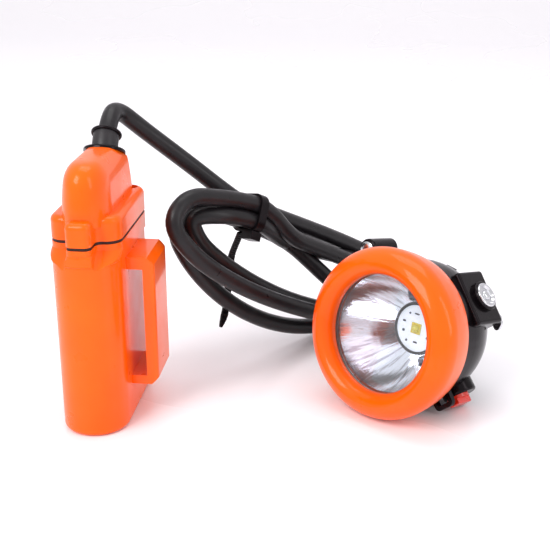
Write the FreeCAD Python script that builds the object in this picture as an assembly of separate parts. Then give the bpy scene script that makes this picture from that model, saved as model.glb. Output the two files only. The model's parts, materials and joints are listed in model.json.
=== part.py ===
import FreeCAD, Part
import math
import os
from FreeCAD import Placement, Rotation, Vector

# A miner's cap lamp: a belt-worn battery pack, a headpiece and the thick rubber cable between them,
# looped three times and tied.  Millimetres, +Z up.  The origin is the middle of the pack's base,
# +X points out of the belt-loop face and +Y runs along the pack from its round end to its square end.

# battery pack
CASE_HALF = 15.8        # half the thickness at the collar, across the two broad faces
CASE_STEP = 0.6         # the case below the collar is this much slimmer all round
CASE_NEAR = -33.3       # the round end
CASE_FAR = 33.0         # the square end
CASE_CORNER = 7.0
CASE_TOP = 88.7
CASE_WALL = 2.0
CASE_FLOOR = 2.2
COLLAR_BOTTOM = 81.0
FLUTE_BOTTOM = 86.0     # the flutes are full depth above this and run out below it
NOSE_FACE = -32.4       # the nose between the two flutes
NOSE_HALF = 5.6
SHOULDER = -22.3        # the shoulders beside it
GASKET_TOP = 90.1
COVER_TOP = 100.7
COVER_ROUND = 3.0
LIP_DEPTH = 3.4
LIP_GAP = 0.1
LIP_WALL = 1.6

# the hump on the cover, which holds the cable gland
HUMP_TOP = 123.3
HUMP_HALF = 11.0
HUMP_NEAR = -28.0
HUMP_MIDDLE = -11.0     # the near end is rounded up to here
HUMP_FAR = 30.0
HUMP_WALL = 2.3
SEAT = Vector(0, 19.3, 118.8)
SEAT_RISE = 62.0        # degrees above the horizontal that the gland points

# belt loop
LOOP_NEAR, LOOP_FAR = -11.3, 15.2
LOOP_BOTTOM, LOOP_TOP = 17.4, 79.2
LOOP_OUT = 27.8
SLOT_OUT = 22.5
SLOT_BOTTOM, SLOT_TOP = 21.6, 73.6

# cells
CELL_RADIUS, CELL_LENGTH, CELL_PITCH = 9.15, 65.0, 18.6
CELL_BASE = 4.5
WELL = Vector(9.6, 27.0, 0)   # cover screw and its boss, mirrored across the pack

# cable and its boots
CABLE = 4.2             # radius
BOOT = 6.0
BOOT_ARC = 30.0         # radius of the boot's bend
BOOT_TURN = 16.0
EXIT_RISE = SEAT_RISE - BOOT_TURN
EXIT_RING = 1.5

# headpiece, in its own frame: x to the right and y up as the lamp is seen from the front,
# z along the beam, origin in the middle of the lens opening
HEAD_PLACE = Vector(128.6, 6.3, 40.0)
HEAD_TURN, HEAD_TILT = 37.95, 12.5
BALL_Z = -28.0
BALL = 33.8
SHELL = 2.4
RIM_Z = -6.4
BEZEL, BEZEL_FRONT, BEZEL_BACK = 39.9, 7.0, -16.0
OPENING = 27.8
BOARD_Z, BOARD_RADIUS = -28.7, 12.0
SINK_FRONT, SINK_BACK, SINK_RADIUS = -30.3, -34.3, 18.6
AUX_TURNS = (98, -53)   # the two small lamps beside the board
STUD_TURN, STUD_Z, STUD_FACE = 39.5, -37.0, 35.3
HOOK_FRONT = -48.4      # the plate starts 2.4 mm behind the boss
HOOK_ROOT, HOOK_TIP = 27.4, 32.2
HOOK_SCREWS = (-9.5, 2.5)
CONTACT_TURN, CONTACT_OUT = 130.0, 43.2
SWITCH_TURN, SWITCH_Z, SWITCH_FACE = -46.5, -35.0, 36.9
GUARD_TURN, GUARD_OUT, GUARD_BACK = -49.5, 40.8, -27.0
GLAND_TURN, GLAND_TILT = 194.7, 24.4
GLAND_FACE, HEAD_BOOT_START, HEAD_BOOT_END = 36.5, 41.0, 57.0

# the coil lies in a leaning plane: along it, up it and through it, away from the headpiece's front
TIE = Vector(62.3, 57.4, 79.8)
COIL_ALONG = Vector(0.636, 0.772, 0)
COIL_THROUGH = Vector(-0.757, 0.624, -0.196)
COIL_UP = Vector(-0.151, 0.125, 0.981)
COIL_MIDDLE = (24.8, -37.8)
COIL_LONG = 80.0        # half its length, and then the heights of its top, its ends, its haunches and its foot
COIL_TOP, COIL_END, COIL_HAUNCH, COIL_LOW = 21.5, -1.5, -14.0, -21.0
COIL_SLOPE = 25.0
COIL_SECTION = 8.8
STRAND_SLOPE = 27.0     # of the four strands at the tie
TIED_SIDE = 16.8        # the bundle of four strands where the tie squeezes it
TIED_LENGTH = 22.0
BUNDLE_STEP = 4.2

Z = Vector(0, 0, 1)
X = Vector(1, 0, 0)


def lying(start, length, radius, direction=Z):
    return Part.makeCylinder(radius, length, start, direction)


def block(x0, x1, y0, y1, z0, z1):
    return Part.makeBox(x1 - x0, y1 - y0, z1 - z0, Vector(x0, y0, z0))


def outline(start, *steps):
    """A wire from start through steps: a point is a line to it, a pair of points is an arc through the first."""
    edges, here = [], start
    for step in steps:
        if isinstance(step, Vector):
            edges.append(Part.LineSegment(here, step).toShape())
            here = step
        else:
            edges.append(Part.Arc(here, step[0], step[1]).toShape())
            here = step[1]
    return Part.Wire(edges)


def lathe(start, *steps):
    """A solid turned about the z axis from (radius, z) points, closed back to the start."""
    def at(p):
        return Vector(p[0], 0, p[1])
    path = [at(s) if isinstance(s[0], (int, float)) else (at(s[0]), at(s[1])) for s in steps]
    wire = outline(at(start), *path, at(start))
    return Part.Face(wire).revolve(Vector(), Z, 360)


def ring(inner, outer, z0, z1):
    return lying(Vector(0, 0, z0), z1 - z0, outer).cut(lying(Vector(0, 0, z0 - 1), z1 - z0 + 2, inner))


def hexagon(corner, z0, z1):
    points = [Vector(corner * math.cos(math.radians(60 * k)), corner * math.sin(math.radians(60 * k)), z0)
              for k in range(7)]
    return Part.Face(Part.makePolygon(points)).extrude(Vector(0, 0, z1 - z0))


def hex_nut(corner, hole, z0, z1):
    return hexagon(corner, z0, z1).cut(lying(Vector(0, 0, z0 - 1), z1 - z0 + 2, hole))


def screw(head, shank, head_z, top_z, tip_z, drive=1.0):
    """A pan-head screw along z with a hexagon socket, its shank running down from head_z to tip_z."""
    body = lying(Vector(0, 0, head_z), top_z - head_z, head).fuse(lying(Vector(0, 0, tip_z), head_z - tip_z, shank))
    return body.removeSplitter().cut(hexagon(drive, top_z - drive, top_z + 1))


def moved(shape, placement):
    copy = shape.copy()
    copy.Placement = placement.multiply(copy.Placement)
    return copy


def frame_at(place, pointing, across):
    """The placement that takes z to pointing and x to across."""
    z = Vector(pointing).normalize()
    x = Vector(across)
    x = (x - z * x.dot(z)).normalize()
    return Placement(place, Rotation(x, z.cross(x), z, "ZXY"))


def tube_route(points, radius, name):
    """The cable along a list of points: straight runs joined by arcs as large as the runs allow."""
    steps, here, radii = [], points[0], []
    for before, corner, after in zip(points, points[1:], points[2:]):
        back, on = (before - corner), (after - corner)
        half = (math.pi - back.getAngle(on)) / 2
        reach = 0.45 * min(back.Length, on.Length)
        radii.append(reach / math.tan(half))
        back.normalize()
        on.normalize()
        centre = corner + (back + on).normalize() * (radii[-1] / math.cos(half))
        middle = centre + (corner - centre).normalize() * radii[-1]
        steps += [corner + back * reach, (middle, corner + on * reach)]
    wire = outline(here, *steps, points[-1])
    profile = Part.Wire(Part.Circle(points[0], points[1] - points[0], radius).toShape())
    tube = wire.makePipeShell([profile], True, False)
    print(name, "radii", [round(r, 1) for r in radii], "length", round(wire.Length, 1),
          "volume over section x length", round(tube.Volume / (math.pi * radius ** 2 * wire.Length), 4))
    return tube


# ---------------------------------------------------------------- battery pack

def body_plan(inset=0.0):
    """The lower case in plan: a half round near end and a squarish far end."""
    half, near, far = CASE_HALF - inset, CASE_NEAR + inset, CASE_FAR - inset
    corner = CASE_CORNER - inset
    turn = corner * (1 - math.sqrt(0.5))
    return outline(Vector(half, near + half, 0), Vector(half, far - corner, 0),
                   (Vector(half - turn, far - turn, 0), Vector(half - corner, far, 0)),
                   Vector(-half + corner, far, 0),
                   (Vector(-half + turn, far - turn, 0), Vector(-half, far - corner, 0)),
                   Vector(-half, near + half, 0),
                   (Vector(0, near, 0), Vector(half, near + half, 0)))


def collar_plan(inset=0.0):
    """The lid joint in plan: the near end steps forward into a nose between two flutes."""
    half, far, corner = CASE_HALF, CASE_FAR, CASE_CORNER
    turn = corner * (1 - math.sqrt(0.5))

    shoulder, hollow, tip = 6.8, 3.0, 3.2
    far_bend, near_bend = shoulder * math.sqrt(0.5), 1 - math.sqrt(0.5)

    def side(s):
        neck = s * NOSE_HALF
        return [Vector(s * half, SHOULDER + shoulder, 0),
                (Vector(s * (half - shoulder + far_bend), SHOULDER + shoulder - far_bend, 0),
                 Vector(s * (half - shoulder), SHOULDER, 0)),
                Vector(neck + s * hollow, SHOULDER, 0),
                (Vector(neck + s * hollow * near_bend, SHOULDER - hollow * near_bend, 0),
                 Vector(neck, SHOULDER - hollow, 0)),
                Vector(neck, NOSE_FACE + tip, 0),
                (Vector(neck - s * tip * near_bend, NOSE_FACE + tip * near_bend, 0),
                 Vector(neck - s * tip, NOSE_FACE, 0))]

    right, left = side(1), side(-1)
    back = [left[5][1], (left[5][0], left[4]), left[3][1], (left[3][0], left[2]), left[1][1], (left[1][0], left[0])]
    wire = outline(right[0], *right[1:], *back,
                   Vector(-half, far - corner, 0),
                   (Vector(-half + turn, far - turn, 0), Vector(-half + corner, far, 0)),
                   Vector(half - corner, far, 0),
                   (Vector(half - turn, far - turn, 0), Vector(half, far - corner, 0)),
                   right[0])
    return wire.makeOffset2D(-inset) if inset else wire


def prism(wire, z0, z1):
    face = Part.Face(wire)
    face.translate(Vector(0, 0, z0))
    return face.extrude(Vector(0, 0, z1 - z0))


def flute(side):
    """What a flute takes out of the case: full depth at the top, running outwards and out below."""
    reach = block(0, 25, CASE_NEAR - 8, SHOULDER + 6.8, 0, 0.5) if side > 0 else \
        block(-25, 0, CASE_NEAR - 8, SHOULDER + 6.8, 0, 0.5)
    slab = reach.cut(prism(collar_plan(), -1, 2))
    face = max((f for f in slab.Faces if f.CenterOfMass.z < 0.01), key=lambda f: f.Area)
    face.translate(Vector(0, 0, FLUTE_BOTTOM))
    straight = face.extrude(Vector(0, 0, CASE_TOP - FLUTE_BOTTOM + 1))
    slanted = face.extrude(Vector(side * 0.6, -10.5, -8.5))
    return straight.fuse(slanted)


def battery_case():
    case = prism(body_plan(CASE_STEP), 0, COLLAR_BOTTOM + 1)
    base = [e for e in case.Edges if e.BoundBox.ZMax < 0.01]
    case = case.makeFillet(2.5, base)
    collar = prism(body_plan(), COLLAR_BOTTOM, CASE_TOP)
    under = [e for e in collar.Edges if e.BoundBox.ZMax < COLLAR_BOTTOM + 0.01]
    case = case.fuse(collar.makeChamfer(CASE_STEP - 0.02, under))
    for side in (-1, 1):
        case = case.cut(flute(side))
    case = case.cut(prism(body_plan(CASE_STEP + CASE_WALL), CASE_FLOOR, 76))
    case = case.cut(prism(collar_plan(CASE_WALL), 75.5, CASE_TOP + 1))
    inside = prism(collar_plan(CASE_STEP), 74, 86)
    for side in (-1, 1):
        boss = lying(Vector(side * WELL.x, WELL.y, 74), 12, 4.4).common(inside)
        case = case.fuse(boss).cut(lying(Vector(side * WELL.x, WELL.y, 76), 12, 1.25))
    return case.removeSplitter()


def case_gasket():
    return prism(collar_plan(0.25), CASE_TOP, GASKET_TOP).cut(
        prism(collar_plan(CASE_WALL), CASE_TOP - 1, GASKET_TOP + 1))


def hump(shrink, seat_depth):
    """The hump's form: an arch along y with a rounded near end, cut off square to the gland."""
    half, top, near = HUMP_HALF - shrink, HUMP_TOP - shrink, HUMP_NEAR + shrink
    base = COVER_TOP - 4.0
    rise = top - base
    shares = ((1.0, 0.0), (0.98, 0.3), (0.925, 0.55), (0.81, 0.79), (0.54, 0.95), (0.0, 1.0))
    curve = Part.BSplineCurve()
    curve.interpolate([Vector(half * w, 0, base + rise * h) for w, h in shares],
                      InitialTangent=Vector(0, 0, 1), FinalTangent=Vector(-1, 0, 0))
    edges = [curve.toShape(), Part.LineSegment(Vector(0, 0, top), Vector(0, 0, base)).toShape(),
             Part.LineSegment(Vector(0, 0, base), Vector(half, 0, base)).toShape()]
    profile = Part.Face(Part.Wire(edges))
    dome = profile.revolve(Vector(), Z, -180)
    stretch = FreeCAD.Matrix()
    stretch.scale(1, (HUMP_MIDDLE - near) / half, 1)
    dome = dome.transformGeometry(stretch)
    mirrored = profile.mirror(Vector(), X)
    length = HUMP_FAR - shrink - HUMP_MIDDLE
    arch = profile.extrude(Vector(0, length, 0)).fuse(mirrored.extrude(Vector(0, length, 0)))
    form = arch.fuse(dome)
    form.translate(Vector(0, HUMP_MIDDLE, 0))
    cutter = moved(Part.makeBox(80, 80, 40, Vector(-40, -40, -seat_depth)), seat_frame())
    return form.cut(cutter).removeSplitter()


def seat_frame():
    rise = math.radians(SEAT_RISE)
    return frame_at(SEAT, Vector(0, math.cos(rise), math.sin(rise)), X)


def top_cover():
    wall = prism(collar_plan(), GASKET_TOP, COVER_TOP)
    rim = [e for e in wall.Edges if e.BoundBox.ZMin > COVER_TOP - 0.01]
    wall = wall.makeFillet(COVER_ROUND, rim)
    lip = prism(collar_plan(CASE_WALL + LIP_GAP), GASKET_TOP - LIP_DEPTH, GASKET_TOP + 1)
    cover = wall.fuse(hump(0, 0)).fuse(lip)
    cover = cover.cut(prism(collar_plan(CASE_WALL + LIP_GAP + LIP_WALL), GASKET_TOP - LIP_DEPTH - 1, COVER_TOP - 2.4))
    room = hump(HUMP_WALL, HUMP_WALL).common(block(-20, 20, -40, 20.5, 90, 130))
    cover = cover.cut(room)
    cover = cover.cut(moved(lying(Vector(0, 0, -12), 14, 5.1), seat_frame()))
    cover = cover.cut(moved(lying(Vector(0, 0, -12), 12 - HUMP_WALL, 7.5), seat_frame()))
    for side in (-1, 1):
        foot = lying(Vector(side * WELL.x, WELL.y, GASKET_TOP - 3.9), COVER_TOP - GASKET_TOP, 4.2)
        cover = cover.fuse(foot.common(prism(collar_plan(CASE_WALL + LIP_GAP), 80, COVER_TOP - 1)))
        cover = cover.cut(lying(Vector(side * WELL.x, WELL.y, 95.5), 30, 3.3))
        cover = cover.cut(lying(Vector(side * WELL.x, WELL.y, 80), 30, 1.6))
    return cover.removeSplitter()


def cover_screws():
    one = screw(2.8, 1.25, 95.5, 97.5, 78.0, 1.4)
    return [moved(one, Placement(Vector(side * WELL.x, WELL.y, 0), Rotation())) for side in (-1, 1)]


def belt_loop():
    slab = block(CASE_HALF - CASE_STEP, LOOP_OUT, LOOP_NEAR, LOOP_FAR, LOOP_BOTTOM, LOOP_TOP)
    edges = [e for e in slab.Edges if e.BoundBox.XMin > LOOP_OUT - 0.01 and e.BoundBox.YLength > 1]
    slab = slab.makeChamfer(3.2, edges)
    upright = [e for e in slab.Edges if e.BoundBox.XMin > LOOP_OUT - 0.01 and e.BoundBox.ZLength > 10]
    slab = slab.makeFillet(2.0, upright)
    slot = block(CASE_HALF - 2, SLOT_OUT, LOOP_NEAR - 1, LOOP_FAR + 1, SLOT_BOTTOM, SLOT_TOP)
    return slab.cut(slot)


def cell(index):
    y = (index - 1) * CELL_PITCH
    body = lying(Vector(0, y, CELL_BASE), CELL_LENGTH, CELL_RADIUS)
    body = body.makeFillet(0.8, body.Edges[0]) if len(body.Edges) == 3 else body
    return body.fuse(lying(Vector(0, y, CELL_BASE + CELL_LENGTH), 0.8, 3.2)).removeSplitter()


def cell_spacers():
    plates = []
    for z in (9.0, 60.0):
        plate = prism(body_plan(CASE_STEP + CASE_WALL + 0.2), z, z + 4)
        for index in range(3):
            plate = plate.cut(lying(Vector(0, (index - 1) * CELL_PITCH, z - 1), 6, CELL_RADIUS + 0.05))
        plates.append(plate)
    return plates


def nickel_straps():
    top = CELL_BASE + CELL_LENGTH + 0.8
    return [block(-3.5, 3.5, -23, 23, CELL_BASE - 0.3, CELL_BASE), block(-3.5, 3.5, -23, 23, top, top + 0.3)]


def foam_pads():
    top = CELL_BASE + CELL_LENGTH + 1.1
    return [block(-11, 11, -24, 26, CASE_FLOOR, CELL_BASE - 0.3), block(-10, 10, -20, 20, top, top + 2.4)]


def protection_board():
    z = CELL_BASE + CELL_LENGTH + 3.5
    board = block(-10, 10, -21, 20, z, z + 1.2)
    for x, y, size, height in ((-5, -12, 5, 1.4), (4, -12, 5, 1.4), (0, 2, 7, 1.8), (-6, 12, 4, 1.0)):
        board = board.fuse(block(x, x + size, y, y + size, z + 1.2, z + 1.2 + height))
    return board.removeSplitter()


def battery_wires():
    z = CELL_BASE + CELL_LENGTH + 4.7
    return [lying(Vector(x, 13, z), 100.0 - z, 0.9) for x in (-2.0, 2.0)]


# ---------------------------------------------------------------- cable gland on the pack

def gland_body():
    return moved(ring(CABLE, 5.0, -9.5, 0), seat_frame())


def gland_nut():
    return moved(hex_nut(7.3, 5.0, -HUMP_WALL - 3.2, -HUMP_WALL), seat_frame())


def gland_washer():
    washer = lathe((BOOT + 0.05, 0), (9.6, 0), (9.6, 0.8), ((9.2, 1.5), (8.6, 1.7)), (BOOT + 0.05, 1.7))
    return moved(washer, seat_frame())


def bend(radius):
    """A round bar through the boot's bend, starting on the gland's seat."""
    rise = math.radians(SEAT_RISE)
    pivot = SEAT + Vector(0, math.sin(rise), -math.cos(rise)) * BOOT_ARC
    disc = Part.Face(Part.Wire(Part.Circle(SEAT, Vector(0, math.cos(rise), math.sin(rise)), radius).toShape()))
    return disc.revolve(pivot, X, -BOOT_TURN)


def boot_tip():
    """Where the cable leaves the boot, and which way it points there."""
    rise, exit_rise = math.radians(SEAT_RISE), math.radians(EXIT_RISE)
    pivot = SEAT + Vector(0, math.sin(rise), -math.cos(rise)) * BOOT_ARC
    return (pivot + Vector(0, -math.sin(exit_rise), math.cos(exit_rise)) * BOOT_ARC,
            Vector(0, math.cos(exit_rise), math.sin(exit_rise)))


def cable_boot():
    return bend(BOOT).cut(bend(CABLE))


def boot_ring():
    tip, way = boot_tip()
    flange = lathe((CABLE, 0), (6.7, 0), ((7.1, EXIT_RING / 2), (6.7, EXIT_RING)), (CABLE, EXIT_RING))
    return moved(flange, frame_at(tip, way, X))


# ---------------------------------------------------------------- cable

def coil_point(along, up, through=0.0):
    return TIE + COIL_ALONG * along + COIL_UP * up + COIL_THROUGH * through


def bundle_frame():
    """At the tie: z along the strands, y up across them in the coil's plane."""
    slope = math.radians(STRAND_SLOPE)
    along = COIL_ALONG * math.cos(slope) - COIL_UP * math.sin(slope)
    return frame_at(TIE, along, COIL_THROUGH)


def lead_route():
    tip, way = boot_tip()
    strand = bundle_frame().multVec(Vector(BUNDLE_STEP, BUNDLE_STEP, -4))
    return [tip + way * EXIT_RING, tip + way * 10.0, Vector(1.0, 42.5, 134.2), Vector(10.5, 49.5, 123.6),
            Vector(20.0, 53.5, 114.8), Vector(34.0, 57.5, 102.6), Vector(46.5, 59.5, 92.0), strand]


def cable_lead():
    tip, way = boot_tip()
    inside = moved(lying(Vector(0, 0, -9.5), 9.5, CABLE), seat_frame())
    route = tube_route(lead_route(), CABLE, "cable_lead")
    return inside.fuse(bend(CABLE)).fuse(lying(tip, EXIT_RING, CABLE, way)).fuse(route).removeSplitter()


def tail_route():
    strand = bundle_frame().multVec(Vector(BUNDLE_STEP, -BUNDLE_STEP, 4))
    end, way = head_boot_tip()
    return [strand, Vector(79.0, 76.0, 59.8), Vector(93.5, 86.0, 41.8), Vector(107.2, 91.5, 26.4),
            Vector(121.5, 96.0, 14.0), Vector(134.6, 101.3, 7.2), Vector(145.4, 105.2, 7.3),
            Vector(155.6, 101.1, 9.5), end + way * 11.0, end]


def cable_tail():
    inside = lying(Vector(0, 0, 27), HEAD_BOOT_END - 27, CABLE)
    return tube_route(tail_route(), CABLE, "cable_tail").fuse(moved(inside, gland_frame())).removeSplitter()


def cable_coil():
    """The three turns as one flat ring, squeezed square where the tie holds them."""
    slope = math.radians(COIL_SLOPE)
    half, end = TIED_SIDE / 2, TIED_LENGTH / 2
    bundle = bundle_frame()

    def at(x, y):
        return coil_point(COIL_MIDDLE[0] + x * math.cos(slope) + y * math.sin(slope),
                          COIL_MIDDLE[1] - x * math.sin(slope) + y * math.cos(slope))

    corners = [(8, COIL_TOP), (COIL_LONG, COIL_TOP), (COIL_LONG, COIL_END), (42, COIL_HAUNCH), (0, COIL_LOW),
               (-42, COIL_HAUNCH), (-COIL_LONG, COIL_END), (-COIL_LONG, COIL_TOP)]
    tied = [bundle.multVec(Vector(0, 0, along)) for along in (end, end + 7, -end - 7, -end)]
    loop = tube_route([*tied[:2], *(at(x, y) for x, y in corners), *tied[2:]], COIL_SECTION, "cable_coil")
    neck = block(-half, half, -half, half, -end - 3, end + 3)
    neck = neck.makeFillet(BUNDLE_STEP, [e for e in neck.Edges if e.BoundBox.ZLength > 5])
    return loop.fuse(moved(neck, bundle))


def cable_tie():
    """The band round the bundle, its buckle under the front edge and the tail hanging from it."""
    half = TIED_SIDE / 2
    outer, inner = block(-half - 1.3, half + 1.3, -half - 1.3, half + 1.3, -2.4, 2.4), \
        block(-half, half, -half, half, -3, 3)
    outer = outer.makeFillet(BUNDLE_STEP + 1.3, [e for e in outer.Edges if e.BoundBox.ZLength > 4])
    inner = inner.makeFillet(BUNDLE_STEP, [e for e in inner.Edges if e.BoundBox.ZLength > 4])
    buckle = block(-half + 1.0, -half + 8.4, -half - 5.2, -half - 0.9, -3.2, 3.2)
    strap = outer.fuse(buckle).cut(inner)
    return moved(strap.removeSplitter(), bundle_frame())


# ---------------------------------------------------------------- headpiece

def head_frame():
    return Placement(HEAD_PLACE, Rotation(Z, -HEAD_TURN).multiply(Rotation(X, 90 - HEAD_TILT)))


def radial(turn, z):
    """In the headpiece: z outwards at an angle round the beam, x round it, y forwards."""
    angle = math.radians(turn)
    out, around = Vector(math.cos(angle), math.sin(angle), 0), Vector(-math.sin(angle), math.cos(angle), 0)
    return head_frame().multiply(Placement(Vector(0, 0, z), Rotation(around, Z, out, "ZXY")))


def gland_frame():
    """Out of the back of the ball, along the cable gland."""
    turn, tilt = math.radians(GLAND_TURN), math.radians(GLAND_TILT)
    out = Vector(math.sin(tilt) * math.cos(turn), math.sin(tilt) * math.sin(turn), -math.cos(tilt))
    local = frame_at(Vector(0, 0, BALL_Z), out, Vector(0, 1, 0))
    return head_frame().multiply(local)


def head_boot_tip():
    frame = gland_frame()
    return frame.multVec(Vector(0, 0, HEAD_BOOT_END)), frame.Rotation.multVec(Z)


def parallel(turn, out):
    """In the headpiece: the beam's direction, moved out to one side."""
    angle = math.radians(turn)
    return head_frame().multiply(Placement(Vector(out * math.cos(angle), out * math.sin(angle), 0), Rotation(Z, turn)))


def bowl(radius, front, back_end):
    """A straight-sided bowl with a ball end."""
    slant = radius * math.sqrt(0.5)
    return lathe((0, front), (radius, front), (radius, BALL_Z), ((slant, BALL_Z - slant), (0, back_end)))


def bezel():
    form = lathe((OPENING, -0.6), ((28.9, 4.9), (33.2, BEZEL_FRONT)), ((38.2, 3.6), (BEZEL, -4.0)),
                 ((38.8, -10.2), (37.2, BEZEL_BACK)), (BALL + 0.1, BEZEL_BACK), (BALL + 0.1, -14.2),
                 (BALL + 1.2, -14.2), (BALL + 1.2, -12.6), (BALL + 0.1, -12.6), (BALL + 0.1, -4.4),
                 (31.2, -4.4), (31.2, -1.2), (OPENING, -1.2))
    return moved(form, head_frame()).cut(moved(lying(Vector(0, 0, 30), 12, 1.3), radial(100, -9.5)))


def bezel_seal():
    return moved(ring(BALL, BALL + 1.2, -14.2, -12.6), head_frame())


def bezel_lock_screw():
    grub = lying(Vector(0, 0, 32.4), 5.6, 1.25).cut(hexagon(0.7, 36.4, 40))
    return moved(grub, radial(100, -9.5))


def lens():
    return moved(lathe((0, -4.4), (31.0, -4.4), (31.0, -1.2), (0, -1.2)), head_frame())


def lens_gasket():
    return moved(ring(29.0, 33.4, -5.2, -4.4), head_frame())


def reflector():
    """A deep cone with a little curve in it, hung by its flange and open at the board."""
    form = lathe((27.7, -4.5), ((20.8, -18.2), (12.2, BOARD_Z)), (13.2, BOARD_Z),
                 ((21.8, -18.2), (28.4, RIM_Z)), (33.4, RIM_Z), (33.4, -5.2), (28.9, -5.2), (28.9, -4.5))
    for turn in AUX_TURNS:
        angle = math.radians(turn)
        form = form.cut(lying(Vector(16 * math.cos(angle), 16 * math.sin(angle), -33), 16, 2.5))
    return moved(form, head_frame())


def led_board():
    board = lathe((0, SINK_FRONT), (BOARD_RADIUS, SINK_FRONT), (BOARD_RADIUS, BOARD_Z), (0, BOARD_Z))
    return moved(board, head_frame())


def led_ring():
    return moved(ring(11.3, 12.1, BOARD_Z, BOARD_Z + 0.7), head_frame())


def main_led():
    base = block(-2.6, 2.6, -2.6, 2.6, BOARD_Z, BOARD_Z + 0.8)
    dome = lathe((0, BOARD_Z + 0.8), (1.9, BOARD_Z + 0.8), ((1.34, BOARD_Z + 2.14), (0, BOARD_Z + 2.7)))
    return moved(base.fuse(dome).removeSplitter(), head_frame())


def aux_leds():
    one = lathe((0, SINK_FRONT), (2.3, SINK_FRONT), (2.3, -24.2), ((1.7, -22.6), (0.5, -21.95)), (0, -21.95))
    return [moved(one, parallel(turn, 16)) for turn in AUX_TURNS]


def heat_sink():
    sink = lying(Vector(0, 0, SINK_BACK), SINK_FRONT - SINK_BACK, SINK_RADIUS)
    for turn in (80, 180, 280):
        arm = block(15, 30.4, -3, 3, SINK_BACK, SINK_BACK + 2.4)
        post = lying(Vector(13, 0, -41), 41 + SINK_BACK, 1.6)
        hole = lying(Vector(28.2, 0, -45), 20, 1.1)
        turned = Placement(Vector(), Rotation(Z, turn))
        sink = sink.fuse(moved(arm, turned)).fuse(moved(post, turned)).cut(moved(hole, turned))
    return moved(sink.removeSplitter(), head_frame())


def sink_screws():
    one = screw(2.0, 1.0, SINK_BACK + 2.4, SINK_BACK + 3.8, -39.0, 0.8)
    return [moved(one, parallel(turn, 28.2)) for turn in (80, 180, 280)]


def driver_board():
    board = lying(Vector(0, 0, -42.4), 1.4, 16.5)
    for x, y, size, height in ((-9, 3, 6, 3.0), (3, 4, 7, 4.0), (-3, -9, 5, 1.6), (6, -8, 4, 1.6)):
        board = board.fuse(block(x, x + size, y, y + size, -42.4 - height, -42.4))
    return moved(board.removeSplitter(), head_frame())


def head_wires():
    return [moved(lying(Vector(-10.4, y, -51.6), 9.2, 0.7), head_frame()) for y in (-4.2, -2.6, -1.0)]


def guard():
    """The hoop that keeps the switch knob off whatever the lamp is put down on."""
    lip = block(25, GUARD_OUT, -5.2, 5.2, GUARD_BACK, GUARD_BACK + 2.6)
    lip = lip.makeFillet(2.4, [e for e in lip.Edges if e.BoundBox.XMin > GUARD_OUT - 0.1 and e.BoundBox.ZLength > 1])
    window = block(33, GUARD_OUT - 2.2, -3.2, 3.2, GUARD_BACK - 1, GUARD_BACK + 4)
    return moved(lip.cut(window), head_turned(GUARD_TURN))


def head_housing():
    head = head_frame()
    shell = moved(bowl(BALL, RIM_Z, BALL_Z - BALL), head)
    stud_boss = block(-13.0, 13.5, -9.0, 12.0, 24, STUD_FACE)
    stud_boss = stud_boss.makeFillet(1.6, [e for e in stud_boss.Edges if e.BoundBox.ZMin > STUD_FACE - 0.1
                                           or e.BoundBox.ZLength > 5])
    shell = shell.fuse(moved(stud_boss, radial(STUD_TURN, STUD_Z)))
    for y in HOOK_SCREWS:
        shell = shell.fuse(moved(lying(Vector(29.6, y, HOOK_FRONT), 4, 3.2), head_turned(STUD_TURN)))
    barrel = lathe((0, -35), (4.3, -35), (4.9, -34.2), (4.9, -17.4), ((4.6, -16.7), (4.1, -16.4)), (0, -16.4))
    web = block(25, CONTACT_OUT, -3.4, 3.4, -34, -21)
    shell = shell.fuse(moved(barrel, parallel(CONTACT_TURN, CONTACT_OUT))).fuse(moved(web, head_turned(CONTACT_TURN)))
    switch_boss = lying(Vector(0, -2.6, 22), SWITCH_FACE - 22, 8.2)
    switch_boss = switch_boss.makeFillet(1.2, [e for e in switch_boss.Edges if e.BoundBox.ZMin > SWITCH_FACE - 0.1])
    shell = shell.fuse(moved(switch_boss, radial(SWITCH_TURN, SWITCH_Z))).fuse(guard())
    shell = shell.fuse(moved(lying(Vector(0, 0, 22), GLAND_FACE - 22, 8.6), gland_frame()))
    shell = shell.cut(moved(bowl(BALL - SHELL, 0, BALL_Z - BALL + SHELL), head))
    shell = shell.fuse(moved(lying(Vector(0, 0, -12.1), 8, 5.5), stud_frame()))
    shell = shell.fuse(moved(lying(Vector(0, 0, 27), 5, 7.6), radial(SWITCH_TURN, SWITCH_Z)))
    for turn in (80, 180, 280):
        lug = block(25.6, 31.8, -2.8, 2.8, -41, SINK_BACK)
        shell = shell.fuse(moved(lug, head_turned(turn))).cut(
            moved(lying(Vector(28.2, 0, -40), 10, 1.0), head_turned(turn)))
    holes = [moved(lying(Vector(0, 0, 20), 25, 2.05), radial(STUD_TURN, STUD_Z)),
             moved(lying(Vector(0, 0, 20), 25, 2.06), radial(SWITCH_TURN, SWITCH_Z)),
             moved(lying(Vector(0, 0, 31.0), 1.8, 3.4), radial(SWITCH_TURN, SWITCH_Z)),
             moved(lying(Vector(0, 0, 20), 25, 5.0), gland_frame()),
             moved(lying(Vector(0, 0, -33), 30, 1.5), parallel(CONTACT_TURN, CONTACT_OUT)),
             moved(lying(Vector(0, 0, -36), 4.5, 3.3), parallel(CONTACT_TURN, CONTACT_OUT)),
             moved(lying(Vector(0, 0, 32.3), 3, 1.3), radial(100, -9.5))]
    holes += [moved(lying(Vector(29.6, y, HOOK_FRONT - 1), 9, 1.4), head_turned(STUD_TURN)) for y in HOOK_SCREWS]
    for hole in holes:
        shell = shell.cut(hole)
    return shell.removeSplitter()


def head_turned(turn):
    return head_frame().multiply(Placement(Vector(), Rotation(Z, turn)))


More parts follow.
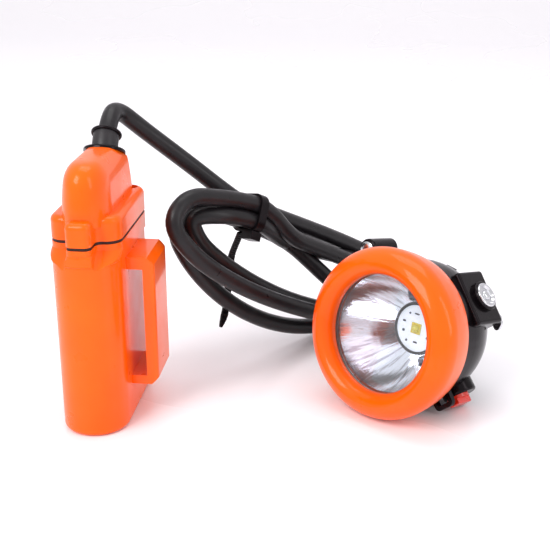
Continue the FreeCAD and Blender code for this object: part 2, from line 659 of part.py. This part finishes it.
def stud_frame():
    """Out of the boss, from the middle of its face."""
    frame = radial(STUD_TURN, STUD_Z)
    return Placement(frame.multVec(Vector(0, 0, STUD_FACE)), frame.Rotation)


def charge_stud():
    stud = lathe((0, -15.5), (2.05, -15.5), (2.05, 0.9), (5.6, 0.9), (6.0, 1.3), (6.0, 2.2),
                 ((5.8, 2.8), (5.2, 3.0)), (4.6, 3.0), (3.9, 1.9), (2.5, 1.9),
                 ((2.0, 2.7), (0.6, 3.1)), (0, 3.1))
    return moved(stud, stud_frame())


def stud_insulator():
    cup = lathe((2.05, 0), (7.2, 0), (7.2, 1.5), ((7.0, 1.9), (6.5, 2.0)), (6.1, 2.0), (6.1, 0.9), (2.05, 0.9))
    return moved(cup, stud_frame())


def stud_nut():
    return moved(hex_nut(3.9, 2.05, -14.5, -12.1), stud_frame())


def side_contact():
    pin = lathe((0, -34.4), (1.5, -34.4), (1.5, -16.4), (3.5, -16.4), (3.5, -15.6), ((2.4, -15.2), (0.6, -15.0)), (0, -15.0))
    return moved(pin, parallel(CONTACT_TURN, CONTACT_OUT))


def contact_nut():
    return moved(hex_nut(3.1, 1.5, -33.8, -31.5), parallel(CONTACT_TURN, CONTACT_OUT))


def switch_knob():
    base = lying(Vector(0, 0, SWITCH_FACE + 0.1), 1.5, 5.4)
    grip = block(-2.7, 2.7, -5.3, 5.3, SWITCH_FACE + 1.6, SWITCH_FACE + 4.2)
    grip = grip.makeFillet(0.6, [e for e in grip.Edges if e.BoundBox.ZMin > SWITCH_FACE + 4.1])
    knob = base.fuse(grip).cut(lying(Vector(0, 0, SWITCH_FACE - 1), 3.4, 2.0))
    return moved(knob.removeSplitter(), radial(SWITCH_TURN, SWITCH_Z))


def switch_shaft():
    shaft = lying(Vector(0, 0, 21.8), SWITCH_FACE + 2.4 - 21.8, 2.0)
    return moved(shaft, radial(SWITCH_TURN, SWITCH_Z))


def switch_seal():
    return moved(ring(2.06, 3.4, 31.0, 32.8), radial(SWITCH_TURN, SWITCH_Z))


def switch_body():
    cup = ring(5.4, 6.4, 21.0, 27.0).fuse(lying(Vector(0, 0, 19.4), 1.6, 6.4))
    return moved(cup.removeSplitter(), radial(SWITCH_TURN, SWITCH_Z))


def switch_rotor():
    disc = ring(2.0, 4.6, 23.2, 25.4).fuse(block(3.0, 5.0, -1.2, 1.2, 23.2, 24.6))
    return moved(disc.removeSplitter(), radial(SWITCH_TURN, SWITCH_Z))


def helmet_hook():
    """A thin plate behind the boss, its lower edge slanting outwards from the ball."""
    corners = [(HOOK_ROOT, -16.5), (HOOK_TIP, -13.2), (HOOK_TIP, 7.0), (HOOK_ROOT, 7.0), (HOOK_ROOT, -16.5)]
    face = Part.Face(Part.makePolygon([Vector(x, y, HOOK_FRONT - 2) for x, y in corners]))
    plate = face.extrude(Vector(0, 0, 2))
    plate = plate.makeFillet(1.5, [e for e in plate.Edges if e.BoundBox.ZLength > 1])
    for y in HOOK_SCREWS:
        plate = plate.cut(lying(Vector(29.6, y, HOOK_FRONT - 3), 5, 1.45))
    return moved(plate, head_turned(STUD_TURN))


def hook_screws():
    one = screw(2.2, 1.4, 2 - HOOK_FRONT, 3.5 - HOOK_FRONT, -7.5 - HOOK_FRONT, 1.1)
    flip = Placement(Vector(), Rotation(X, 180))
    return [moved(moved(one, flip), head_turned(STUD_TURN).multiply(Placement(Vector(29.6, y, 0), Rotation())))
            for y in HOOK_SCREWS]


def head_gland():
    body = hexagon(8.4, GLAND_FACE, HEAD_BOOT_START).fuse(lying(Vector(0, 0, 27), GLAND_FACE - 27, 5.0))
    return moved(body.cut(lying(Vector(0, 0, 20), 30, CABLE)).removeSplitter(), gland_frame())


def head_boot():
    boot = lathe((CABLE, HEAD_BOOT_START), (6.5, HEAD_BOOT_START), (6.3, 46), (5.3, HEAD_BOOT_END),
                 (CABLE, HEAD_BOOT_END))
    return moved(boot, gland_frame())


PIECES = {
    "battery_case": battery_case, "belt_loop": belt_loop, "case_gasket": case_gasket, "top_cover": top_cover,
    "cover_screws": cover_screws, "cell_1": lambda: cell(0), "cell_2": lambda: cell(1), "cell_3": lambda: cell(2),
    "cell_spacers": cell_spacers, "nickel_straps": nickel_straps, "foam_pads": foam_pads,
    "protection_board": protection_board, "battery_wires": battery_wires,
    "gland_body": gland_body, "gland_nut": gland_nut, "gland_washer": gland_washer,
    "cable_boot": cable_boot, "boot_ring": boot_ring,
    "cable_lead": cable_lead, "cable_coil": cable_coil, "cable_tail": cable_tail, "cable_tie": cable_tie,
    "bezel": bezel, "bezel_seal": bezel_seal, "bezel_lock_screw": bezel_lock_screw,
    "lens": lens, "lens_gasket": lens_gasket, "reflector": reflector,
    "led_board": led_board, "led_ring": led_ring, "main_led": main_led, "aux_leds": aux_leds,
    "heat_sink": heat_sink, "sink_screws": sink_screws, "driver_board": driver_board, "head_wires": head_wires,
    "head_housing": head_housing, "charge_stud": charge_stud, "stud_insulator": stud_insulator,
    "stud_nut": stud_nut, "side_contact": side_contact, "contact_nut": contact_nut,
    "switch_knob": switch_knob, "switch_shaft": switch_shaft, "switch_seal": switch_seal,
    "switch_body": switch_body, "switch_rotor": switch_rotor,
    "helmet_hook": helmet_hook, "hook_screws": hook_screws, "head_gland": head_gland, "head_boot": head_boot,
}


def main():
    os.makedirs("parts", exist_ok=True)
    for name, make in PIECES.items():
        shape = make()
        solids = shape if isinstance(shape, list) else shape.Solids
        whole = Part.makeCompound(solids)
        if not whole.isValid():
            print(name, "is not valid")
        print(f"{name}: {len(solids)} solid(s), {whole.Volume / 1000:.2f} cm3, lowest {whole.BoundBox.ZMin:.2f}")
        (solids[0] if len(solids) == 1 else whole).exportStep(f"parts/{name}.step")


main()
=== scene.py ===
import bmesh
import bpy
import json
import math
from mathutils import Matrix, Vector


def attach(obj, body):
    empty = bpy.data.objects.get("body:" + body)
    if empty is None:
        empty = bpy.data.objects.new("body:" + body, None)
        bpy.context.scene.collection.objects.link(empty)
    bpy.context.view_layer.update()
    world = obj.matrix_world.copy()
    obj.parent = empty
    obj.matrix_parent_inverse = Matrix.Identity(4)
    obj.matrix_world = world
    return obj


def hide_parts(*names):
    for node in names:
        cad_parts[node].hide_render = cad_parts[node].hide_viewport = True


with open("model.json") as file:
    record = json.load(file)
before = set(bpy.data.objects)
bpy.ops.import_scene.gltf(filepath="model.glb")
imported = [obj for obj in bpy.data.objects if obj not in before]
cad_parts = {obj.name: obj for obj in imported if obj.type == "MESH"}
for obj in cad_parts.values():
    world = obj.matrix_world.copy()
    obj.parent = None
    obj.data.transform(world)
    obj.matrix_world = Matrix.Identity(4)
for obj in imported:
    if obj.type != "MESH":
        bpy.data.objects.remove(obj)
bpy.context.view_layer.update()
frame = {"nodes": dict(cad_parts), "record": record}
NODES = frame["nodes"]
BODY = "lamp"
MM = 0.001
CM_PER_M = 100.0


# ---------------------------------------------------------------- materials

def linear(colour):
    """sRGB out of 255 to linear."""
    out = []
    for c in colour:
        c /= 255
        out.append(c / 12.92 if c <= 0.04045 else ((c + 0.055) / 1.055) ** 2.4)
    return (*out, 1.0)


class Shader:
    """A Principled material with its node tree at hand."""

    def __init__(self, name, colour, rough, metallic=0.0, **inputs):
        self.mat = bpy.data.materials.new(name)
        self.mat.use_nodes = True
        self.tree = self.mat.node_tree
        self.bsdf = self.tree.nodes["Principled BSDF"]
        self.set("Base Color", linear(colour))
        self.set("Roughness", rough)
        self.set("Metallic", metallic)
        for key, value in inputs.items():
            self.set(key.replace("_", " "), value)
        self.coords = self.tree.nodes.new("ShaderNodeTexCoord").outputs["Object"]
        self.normal = None

    def set(self, name, value):
        self.bsdf.inputs[name].default_value = value

    def node(self, kind, **settings):
        n = self.tree.nodes.new("ShaderNode" + kind)
        for key, value in settings.items():
            if key.startswith("in_"):
                n.inputs[key[3:].replace("_", " ")].default_value = value
            else:
                setattr(n, key, value)
        return n

    def link(self, a, b):
        self.tree.links.new(a, b)

    def noise(self, scale, detail=3.0, rough=0.55, stretch=None):
        n = self.node("TexNoise", in_Scale=scale, in_Detail=detail, in_Roughness=rough)
        if stretch:
            m = self.node("Mapping")
            m.inputs["Scale"].default_value = stretch
            self.link(self.coords, m.inputs["Vector"])
            self.link(m.outputs["Vector"], n.inputs["Vector"])
        else:
            self.link(self.coords, n.inputs["Vector"])
        return n.outputs["Fac"]

    def spread(self, fac, low, high, start=0.3, end=0.7):
        """fac from start..end to low..high"""
        n = self.node("MapRange")
        n.inputs["From Min"].default_value = start
        n.inputs["From Max"].default_value = end
        n.inputs["To Min"].default_value = low
        n.inputs["To Max"].default_value = high
        self.link(fac, n.inputs["Value"])
        return n.outputs["Result"]

    def blend(self, fac, a, b, to="Base Color"):
        n = self.node("Mix", data_type="RGBA")
        n.inputs[6].default_value = linear(a)
        n.inputs[7].default_value = linear(b)
        self.link(fac, n.inputs[0])
        self.link(n.outputs[2], self.bsdf.inputs[to])
        return n

    def bump(self, height, distance, strength=1.0):
        n = self.node("Bump", in_Strength=strength, in_Distance=distance)
        self.link(height, n.inputs["Height"])
        if self.normal:
            self.link(self.normal, n.inputs["Normal"])
        self.normal = n.outputs["Normal"]
        self.link(self.normal, self.bsdf.inputs["Normal"])
        return self

    def rough(self, fac, low, high, start=0.3, end=0.7):
        self.link(self.spread(fac, low, high, start, end), self.bsdf.inputs["Roughness"])
        return self


# the headpiece, as in the CAD: the middle of its lens opening in metres, its axes, and the board's depth in mm
HEAD_MIDDLE = Vector((0.1286, 0.0063, 0.04))
HEAD_RIGHT = Vector((0.7885, -0.6150, 0.0))
HEAD_TOP = Vector((0.1331, 0.1706, 0.9763))
BEAM = Vector((-0.6004, -0.7699, 0.2164))
BOARD_FACE = -28.7


def head_coordinates(s):
    """Sockets for the turn round the beam, in radians, and the depth behind the lens opening, in cm."""
    place = s.node("VectorMath", operation="SUBTRACT")
    place.inputs[1].default_value = HEAD_MIDDLE
    s.link(s.coords, place.inputs[0])

    def part(way):
        n = s.node("VectorMath", operation="DOT_PRODUCT")
        n.inputs[1].default_value = way
        s.link(place.outputs["Vector"], n.inputs[0])
        return n.outputs["Value"]

    turn = s.node("Math", operation="ARCTAN2")
    s.link(part(HEAD_TOP), turn.inputs[0])
    s.link(part(HEAD_RIGHT), turn.inputs[1])
    down = s.node("Math", operation="MULTIPLY")
    down.inputs[1].default_value = -CM_PER_M
    s.link(part(BEAM), down.inputs[0])
    return turn.outputs["Value"], down.outputs["Value"]


def orange_plastic(name, wavy=0.0, coat=0.35):
    """Glossy moulded plastic: saturated orange, a little redder where it is thick, with soft flow marks."""
    s = Shader(name, (255, 98, 4), 0.32, Coat_Weight=coat, Coat_Roughness=0.04, Specular_IOR_Level=0.22)
    s.set("Specular Tint", (1.0, 0.72, 0.4, 1.0))
    s.blend(s.spread(s.noise(22, 4), 0, 1), (255, 101, 3), (253, 90, 0))
    s.rough(s.noise(60, 5), 0.26, 0.4)
    s.bump(s.noise(9, 2), 0.00045 + wavy, 0.35)
    s.bump(s.noise(1500, 2), 0.00002, 0.4)
    return s.mat


def black_plastic(name, rough=0.16):
    s = Shader(name, (12, 8, 11), rough, Specular_IOR_Level=0.17)
    s.set("Specular Tint", (1.0, 0.86, 0.93, 1.0))
    s.rough(s.noise(70, 5), rough * 0.75, rough * 1.6)
    s.blend(s.spread(s.noise(35, 4), 0, 1), (9, 6, 8), (18, 14, 17))
    s.bump(s.noise(14, 2), 0.0004, 0.3)
    s.bump(s.noise(1800, 2), 0.000012, 0.4)
    return s.mat


def rubber(name, colour=(26, 23, 25), rough=0.4, shine=0.3):
    s = Shader(name, colour, rough, Specular_IOR_Level=shine)
    s.rough(s.noise(240, 6), rough * 0.78, rough * 1.3)
    lighter = tuple(c + 9 for c in colour)
    s.blend(s.spread(s.noise(90, 6), 0, 1, 0.35, 0.75), colour, lighter)
    s.bump(s.noise(2600, 3), 0.00003, 0.5)
    s.bump(s.noise(180, 2), 0.00012, 0.35)
    return s.mat


def metal(name, colour, rough, streak=(1, 1, 24)):
    s = Shader(name, colour, rough, 1.0)
    s.rough(s.noise(260, 4, 0.6, streak), rough * 0.7, rough * 1.7)
    s.bump(s.noise(900, 3, 0.6, streak), 0.00001, 0.5)
    return s.mat


def reflector_metal():
    """Aluminium flashed on to a moulded cone: a mirror with streaks running down to the lamp and duller bands.
    The darker colour in the bands is painted dark reflection, and a faint glow over the whole mirror is painted
    light.
    """
    # Emission_Strength 0.05 is painted light: a faint glow that lifts the whole mirror
    s = Shader("mirror_metal", (240, 240, 243), 0.035, 1.0, Emission_Strength=0.05)
    turn, down = head_coordinates(s)
    spot = s.node("CombineXYZ")
    s.link(turn, spot.inputs["X"])
    s.link(down, spot.inputs["Y"])
    streak = s.node("TexNoise", in_Scale=1.0, in_Detail=4.0, in_Roughness=0.6)
    stretched = s.node("Mapping")
    stretched.inputs["Scale"].default_value = (7.0, 0.35, 1.0)
    s.link(spot.outputs["Vector"], stretched.inputs["Vector"])
    s.link(stretched.outputs["Vector"], streak.inputs["Vector"])
    s.link(s.spread(streak.outputs["Fac"], 0.03, 0.14), s.bsdf.inputs["Roughness"])
    # painted dark reflection: the base colour darkens from near white to grey in the streak bands
    s.blend(s.spread(streak.outputs["Fac"], 0, 1, 0.54, 0.6), (252, 251, 253), (196, 192, 198))
    s.bump(streak.outputs["Fac"], 0.0006, 0.25)
    s.bump(s.noise(160, 3), 0.00004, 0.5)
    return s.mat


def plain(name, colour, rough, grain=0.00002, **inputs):
    s = Shader(name, colour, rough, **inputs)
    darker = tuple(int(c * 0.86) for c in colour)
    s.blend(s.spread(s.noise(120, 4), 0, 1), colour, darker)
    s.rough(s.noise(200, 4), rough * 0.85, rough * 1.2)
    s.bump(s.noise(1400, 2), grain, 0.5)
    return s.mat


def board_material(name, resist, trace):
    """Solder resist with the copper showing through as slightly raised tracks."""
    s = Shader(name, resist, 0.35, Coat_Weight=0.3)
    bricks = s.node("TexBrick", in_Scale=140.0, offset=0.37, squash=1.4)
    s.link(s.coords, bricks.inputs["Vector"])
    s.blend(bricks.outputs["Fac"], resist, trace)
    s.bump(bricks.outputs["Fac"], 0.00003, 0.5)
    s.bump(s.noise(900, 2), 0.00001, 0.4)
    return s.mat


def clear(name, tint=(250, 252, 255), haze=0.012):
    """A clear window: light goes straight through, and the surface mirrors more at a glance."""
    mat = bpy.data.materials.new(name)
    mat.use_nodes = True
    mat.use_backface_culling = False
    tree = mat.node_tree
    tree.nodes.remove(tree.nodes["Principled BSDF"])
    out = tree.nodes["Material Output"]
    through = tree.nodes.new("ShaderNodeBsdfTransparent")
    through.inputs["Color"].default_value = linear(tint)
    gloss = tree.nodes.new("ShaderNodeBsdfGlossy")
    gloss.inputs["Roughness"].default_value = haze
    coords = tree.nodes.new("ShaderNodeTexCoord")
    ripple = tree.nodes.new("ShaderNodeTexNoise")
    ripple.inputs["Scale"].default_value = 30
    bump = tree.nodes.new("ShaderNodeBump")
    bump.inputs["Distance"].default_value = 0.00005
    fresnel = tree.nodes.new("ShaderNodeFresnel")
    fresnel.inputs["IOR"].default_value = 1.45
    mix = tree.nodes.new("ShaderNodeMixShader")
    tree.links.new(coords.outputs["Object"], ripple.inputs["Vector"])
    tree.links.new(ripple.outputs["Fac"], bump.inputs["Height"])
    tree.links.new(bump.outputs["Normal"], gloss.inputs["Normal"])
    tree.links.new(fresnel.outputs["Fac"], mix.inputs["Fac"])
    tree.links.new(through.outputs["BSDF"], mix.inputs[1])
    tree.links.new(gloss.outputs["BSDF"], mix.inputs[2])
    tree.links.new(mix.outputs["Shader"], out.inputs["Surface"])
    return mat


CABLE_RUBBER = rubber("cable_rubber", (25, 22, 25), 0.34, 0.3)
BLACK_PLASTIC = black_plastic("black_plastic")
TIE_NYLON = black_plastic("tie_nylon", 0.26)
BRIGHT_STEEL = metal("bright_steel", (214, 214, 218), 0.14)

# what each CAD material slot wears, and the nodes that differ from their slot
MATERIALS = {
    "orange_plastic": orange_plastic("orange_plastic"),
    "black_plastic": BLACK_PLASTIC,
    "black_rubber": rubber("black_rubber"),
    # partly the silicone's own whitish colour, partly a painted highlight: the gasket is made light so it shows
    # as a bright ring round the lens edge
    "clear_silicone": plain("clear_silicone", (226, 226, 222), 0.35),
    "bright_steel": BRIGHT_STEEL,
    "grey_nylon": plain("grey_nylon", (120, 120, 124), 0.5),
    "cell_sleeve": plain("cell_sleeve", (38, 92, 150), 0.25),
    "nickel": metal("nickel", (196, 190, 176), 0.25, (24, 1, 1)),
    "foam": plain("foam", (58, 58, 60), 0.9, 0.0002),
    "circuit_board": board_material("circuit_board", (20, 84, 46), (44, 120, 66)),
    "wire_sleeve": plain("wire_sleeve", (165, 28, 22), 0.4),
    "clear_window": clear("clear_window"),
    "mirror_metal": reflector_metal(),
    # painted light: the white board glows a little, standing in for the light the reflector gathers on to it
    "white_board": plain("white_board", (240, 244, 245), 0.35, Emission_Color=(0.9, 0.95, 1.0, 1.0),
                         Emission_Strength=0.38),
    "black_ink": plain("black_ink", (24, 24, 26), 0.4),
    "yellow_phosphor": plain("yellow_phosphor", (240, 222, 70), 0.2, 0.00001, Coat_Weight=1.0),
    "clear_resin": clear("clear_resin", (235, 240, 248)),
    "aluminium": metal("aluminium", (196, 197, 200), 0.3),
    "red_plastic": plain("red_plastic", (236, 40, 12), 0.3, Coat_Weight=0.6, Coat_Roughness=0.08),
}
SPECIAL = {
    "belt_loop": orange_plastic("belt_loop_orange", 0.0008, 0.5),
    "cable_tie": TIE_NYLON,
    "cable_boot": rubber("boot_rubber", (40, 37, 40), 0.36),
    "case_gasket": rubber("gasket_rubber", (44, 20, 16), 0.5),
    "boot_ring": black_plastic("boot_ring_black", 0.24),
}


def dress(obj, mat):
    """Puts the material in each of the object's slots."""
    if obj.material_slots:
        for s in obj.material_slots:
            s.material = mat
    else:
        obj.data.materials.append(mat)


for entry in frame["record"]["subparts"]:
    name = entry["node"]
    dress(NODES[name], SPECIAL.get(name, MATERIALS[entry["material_slot"]]))


# ---------------------------------------------------------------- the cable

# millimetres.  The coil lies in a leaning plane through the tie: ALONG it, UP it, and THROUGH it to the back;
# at the tie the four strands slope down by STRAND_SLOPE
CABLE = 4.2
TIE = Vector((62.3, 57.4, 79.8))
ALONG = Vector((0.636, 0.772, 0.0))
THROUGH = Vector((-0.757, 0.624, -0.196))
UP = Vector((-0.151, 0.125, 0.981))
STRAND_SLOPE = math.radians(27)
GRAIN = ALONG * math.cos(STRAND_SLOPE) - UP * math.sin(STRAND_SLOPE)
ACROSS = ALONG * math.sin(STRAND_SLOPE) + UP * math.cos(STRAND_SLOPE)
PLACES = ((CABLE, CABLE), (-CABLE, CABLE), (-CABLE, -CABLE), (CABLE, -CABLE))
POINTS_PER_TURN = 20
PATH_STEPS = 1440
START_STEPS = 400
FLOOR_LEVEL = CABLE + 0.2

# each turn: middle, half lengths to the left and right, half height, slope, droop at each side, fullness,
# and how far it stands behind the coil's plane at the top, right, bottom, left and back at the tie
TURNS = (
    ((26.0, -33.1), 92.0, 108.0, 21.9, 27.0, 4.3, 4.3, 2.2, (4.6, -3.0, -5.4, -5.2, -4.2)),
    ((33.4, -40.6), 83.9, 76.0, 14.7, 28.5, 6.7, 6.7, 2.0, (-4.6, 3.0, 4.2, 4.2, -4.2)),
    ((27.4, -45.3), 84.7, 72.0, 21.0, 24.5, 19.1, 14.0, 2.2, (3.0, 13.0, 11.0, 8.0, 5.0)),
)


def strand(index, along):
    """A point on one of the four strands, so far along it from the middle of the tie."""
    through, across = PLACES[index]
    return TIE + THROUGH * through + ACROSS * across + GRAIN * along


def between(x, xs, ys):
    """y at x on the line through the points (xs, ys), held flat before the first and after the last."""
    if x <= xs[0]:
        return ys[0]
    for x0, x1, y0, y1 in zip(xs, xs[1:], ys, ys[1:]):
        if x <= x1:
            return y0 + (y1 - y0) * (x - x0) / (x1 - x0)
    return ys[-1]


def turn_points(turn, clear_of_tie=24.0):
    """One loose turn, from just after the tie round to just before it."""
    middle, left, right, half, slope, droop_left, droop_right, power, depths = turn
    slope = math.radians(slope)

    def at(angle):
        c, s = math.cos(angle), math.sin(angle)
        reach, droop = (right, droop_right) if c > 0 else (left, droop_left)
        x = reach * math.copysign(abs(c) ** (2 / power), c)
        y = half * math.copysign(abs(s) ** (2 / power), s) + droop * (x / reach) ** 2
        return (middle[0] + x * math.cos(slope) + y * math.sin(slope),
                middle[1] - x * math.sin(slope) + y * math.cos(slope))

    starts = [math.radians(40 + 130 * k / START_STEPS) for k in range(START_STEPS + 1)]
    start = min(starts, key=lambda a: abs(at(a)[0]))
    angles = [start - 2 * math.pi * k / PATH_STEPS for k in range(PATH_STEPS + 1)]
    path = [at(a) for a in angles]
    gone = [0.0]
    for p, q in zip(path, path[1:]):
        gone.append(gone[-1] + math.hypot(q[0] - p[0], q[1] - p[1]))
    marks = [-start, -0.9, 0.0, math.pi / 2, math.pi, 2 * math.pi - start - 0.5, 2 * math.pi - start]
    levels = [depths[0], depths[0], depths[1], depths[2], depths[3], depths[4], depths[4]]
    points = []
    for k in range(POINTS_PER_TURN):
        want = clear_of_tie + (gone[-1] - 2 * clear_of_tie) * k / (POINTS_PER_TURN - 1)
        angle = between(want, gone, angles)
        along, up = at(angle)
        point = TIE + ALONG * along + UP * up + THROUGH * between(-angle, marks, levels)
        point.z = max(point.z, FLOOR_LEVEL)
        points.append(point)
    return points


# where the cable leaves each boot, in millimetres, and the way it points there
BOOT_TIP = Vector((0.0, 24.21, 125.56))
BOOT_WAY = Vector((0.0, math.cos(math.radians(46)), math.sin(math.radians(46))))
HEAD_TIP = Vector((157.82, 80.81, 16.87))
HEAD_WAY = Vector((0.218, 0.929, -0.299))


def cable_points():
    """The whole cable: down from the battery's boot, three turns through the tie, and on to the headpiece."""
    points = [BOOT_TIP - BOOT_WAY * 3, BOOT_TIP + BOOT_WAY * 10.0, Vector((1.0, 42.5, 134.2)),
              Vector((10.5, 49.5, 123.6)), Vector((20.0, 53.5, 114.8)), Vector((34.0, 57.5, 102.6)),
              Vector((46.5, 59.5, 92.0))]
    for k, turn in enumerate(TURNS):
        points += [strand(k, -7 if k else -5), strand(k, 7)]
        points += turn_points(turn)
    points += [strand(3, -7), strand(3, 7), Vector((79.0, 76.0, 59.8)), Vector((93.5, 86.0, 41.8)),
               Vector((107.2, 91.5, 26.4)), Vector((121.5, 96.0, 14.0)), Vector((134.6, 101.3, 7.2)),
               Vector((145.4, 105.2, 7.3)), Vector((155.6, 101.1, 9.5)),
               HEAD_TIP + HEAD_WAY * 11, HEAD_TIP - HEAD_WAY * 3]
    return points


def nurbs(name, points, radius, sides=8, steps=8):
    """A round tube along one open NURBS spline."""
    curve = bpy.data.curves.new(name, "CURVE")
    curve.dimensions = "3D"
    spline = curve.splines.new("NURBS")
    spline.points.add(len(points) - 1)
    for p, co in zip(spline.points, points):
        p.co = (*(Vector(co) * MM), 1.0)
    spline.order_u = 3
    spline.use_endpoint_u = True
    spline.resolution_u = steps
    curve.bevel_depth = radius * MM
    curve.bevel_resolution = sides
    curve.use_fill_caps = True
    obj = bpy.data.objects.new(name, curve)
    bpy.context.collection.objects.link(obj)
    return obj


cable = nurbs("cable", cable_points(), CABLE)
dress(cable, CABLE_RUBBER)
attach(cable, BODY)
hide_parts("cable_lead", "cable_coil", "cable_tail")


# ---------------------------------------------------------------- small pieces

def add_mesh(name, bm, mat, smooth=True):
    mesh = bpy.data.meshes.new(name)
    bm.normal_update()
    bm.to_mesh(mesh)
    bm.free()
    for poly in mesh.polygons:
        poly.use_smooth = smooth
    obj = bpy.data.objects.new(name, mesh)
    bpy.context.collection.objects.link(obj)
    dress(obj, mat)
    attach(obj, BODY)
    return obj


def ribbon(name, path, width, thick, side, mat, teeth=0.0):
    """A flat strap along a path, with fine teeth across one face and a pointed end."""
    point_rows, point_width = 6, 0.28
    bm = bmesh.new()
    rows = []
    count = len(path)
    for i, p in enumerate(path):
        before, after = path[max(i - 1, 0)], path[min(i + 1, count - 1)]
        way = (after - before).normalized()
        across = (side - way * side.dot(way)).normalized()
        out = way.cross(across)
        left = count - 1 - i
        half = width / 2 * (1.0 if left > point_rows else point_width + (1 - point_width) * left / point_rows)
        tooth = teeth * (i % 2)
        corners = [p + across * half * a + out * (thick / 2 + (tooth if b > 0 else 0)) * b
                   for a, b in ((-1, -1), (1, -1), (1, 1), (-1, 1))]
        rows.append([bm.verts.new(c * MM) for c in corners])
    for a, b in zip(rows, rows[1:]):
        for k in range(4):
            bm.faces.new((a[k], a[(k + 1) % 4], b[(k + 1) % 4], b[k]))
    bm.faces.new(rows[0][::-1])
    bm.faces.new(rows[-1])
    bmesh.ops.recalc_face_normals(bm, faces=bm.faces)
    obj = add_mesh(name, bm, mat, False)
    bevel = obj.modifiers.new("edge", "BEVEL")
    bevel.width = 0.15 * MM
    bevel.segments = 2
    return obj


def eased(points, per):
    """A Catmull-Rom line through the points."""
    out = []
    ends = [points[0], *points, points[-1]]
    for p0, p1, p2, p3 in zip(ends, ends[1:], ends[2:], ends[3:]):
        for k in range(per):
            t = k / per
            out.append(0.5 * ((2 * p1) + (p2 - p0) * t + (2 * p0 - 5 * p1 + 4 * p2 - p3) * t ** 2
                              + (3 * p1 - p0 - 3 * p2 + p3) * t ** 3))
    out.append(points[-1])
    return out


TAIL = [Vector(p) for p in ((57.4, 55.2, 70.6), (55.6, 56.3, 66.0), (53.8, 57.4, 61.6), (52.0, 58.2, 56.0),
                            (50.6, 57.4, 44.3), (49.4, 53.2, 29.5), (47.4, 48.0, 21.4))]
tie_tail = ribbon("tie_tail", eased(TAIL, 9), 3.9, 1.3, ALONG, TIE_NYLON, 0.25)


def board_parts():
    """The little resistors and pads round the main lamp."""
    bm = bmesh.new()
    head_axes = Matrix((HEAD_RIGHT, HEAD_TOP, BEAM)).transposed().to_4x4()
    # millimetres on the board's face: right, up, length, width, and the turn in degrees
    places = ((-7.6, 2.0, 1.6, 0.9, 0), (-7.2, -2.6, 1.2, 1.2, 20), (-1.0, 6.9, 2.6, 0.7, 0),
              (0.6, -6.8, 2.2, 0.8, 0), (-4.6, -7.0, 1.0, 1.0, 45), (-5.0, 6.4, 0.9, 0.9, 45),
              (6.9, -2.8, 1.6, 0.9, 60), (7.0, 2.9, 1.2, 1.2, 10))
    for x, y, long, wide, turned in places:
        place = HEAD_MIDDLE + (HEAD_RIGHT * x + HEAD_TOP * y + BEAM * (BOARD_FACE + 0.15)) * MM
        spin = Matrix.Rotation(math.radians(turned), 4, "Z")
        size = Matrix.Diagonal((long * MM, wide * MM, 0.5 * MM, 1.0))
        made = bmesh.ops.create_cube(bm, size=1.0, matrix=Matrix.Translation(place) @ head_axes @ spin @ size)
        edges = list({e for v in made["verts"] for e in v.link_edges})
        bmesh.ops.bevel(bm, geom=edges, offset=0.12 * MM, segments=2, affect="EDGES")
    return add_mesh("board_parts", bm, plain("board_part", (52, 56, 66), 0.3), False)


board_parts()


# ---------------------------------------------------------------- floor, light and camera

def soft_light(name, place, target, size, power, colour=(1, 1, 1)):
    data = bpy.data.lights.new(name, "AREA")
    data.shape = "RECTANGLE"
    data.size, data.size_y = size
    data.energy = power
    data.color = colour
    obj = bpy.data.objects.new(name, data)
    bpy.context.collection.objects.link(obj)
    obj.location = place
    obj.rotation_euler = (Vector(target) - Vector(place)).to_track_quat("-Z", "Y").to_euler()
    return obj


def studio():
    """A white sweep: a floor that curves up into a wall well behind the lamp."""
    front, bend, radius, top, sides, steps = -2.5, 1.2, 0.8, 3.0, (-3.0, 3.2), 12
    angles = [math.pi / 2 * k / steps for k in range(1, steps + 1)]
    profile = [(front, 0.0), (bend, 0.0)]
    profile += [(bend + radius * math.sin(a), radius - radius * math.cos(a)) for a in angles]
    profile += [(bend + radius, top)]
    bm = bmesh.new()
    rows = [[bm.verts.new((x, y, z)) for x in sides] for y, z in profile]
    for a, b in zip(rows, rows[1:]):
        bm.faces.new((a[0], a[1], b[1], b[0]))
    mesh = bpy.data.meshes.new("studio")
    bm.to_mesh(mesh)
    bm.free()
    for poly in mesh.polygons:
        poly.use_smooth = True
    obj = bpy.data.objects.new("studio", mesh)
    bpy.context.collection.objects.link(obj)
    s = Shader("studio_white", (250, 247, 251), 0.3, Specular_IOR_Level=0.6)
    s.rough(s.noise(3, 3), 0.24, 0.32)
    obj.data.materials.append(s.mat)


studio()
world = bpy.data.worlds.new("soft_white")
world.use_nodes = True
world.node_tree.nodes["Background"].inputs["Color"].default_value = (1.0, 1.0, 1.0, 1.0)
world.node_tree.nodes["Background"].inputs["Strength"].default_value = 0.87
bpy.context.scene.world = world
AIM = (0.07, 0.03, 0.05)
soft_light("key", (-0.55, -0.75, 1.0), AIM, (0.7, 0.7), 10)
soft_light("right", (0.95, -0.35, 0.55), AIM, (0.25, 0.8), 1.8)
soft_light("top", (0.1, 0.3, 1.2), AIM, (0.9, 0.6), 4)

camera_data = bpy.data.cameras.new("camera")
camera_data.sensor_width = 36
camera_data.lens = 68.73
camera_data.clip_start, camera_data.clip_end = 0.02, 20
camera = bpy.data.objects.new("camera", camera_data)
bpy.context.collection.objects.link(camera)
CAMERA_PLACE = Vector((0.127, -0.4388, 0.236))
turn, drop = math.radians(6.05), math.radians(20.7)
forward = Vector((-math.sin(turn) * math.cos(drop), math.cos(turn) * math.cos(drop), -math.sin(drop)))
right = Vector((math.cos(turn), math.sin(turn), 0))
above = right.cross(forward)
camera.matrix_world = Matrix.Translation(CAMERA_PLACE) @ Matrix((right, above, -forward)).transposed().to_4x4()
bpy.context.scene.camera = camera
bpy.context.scene.view_settings.view_transform = "Standard"
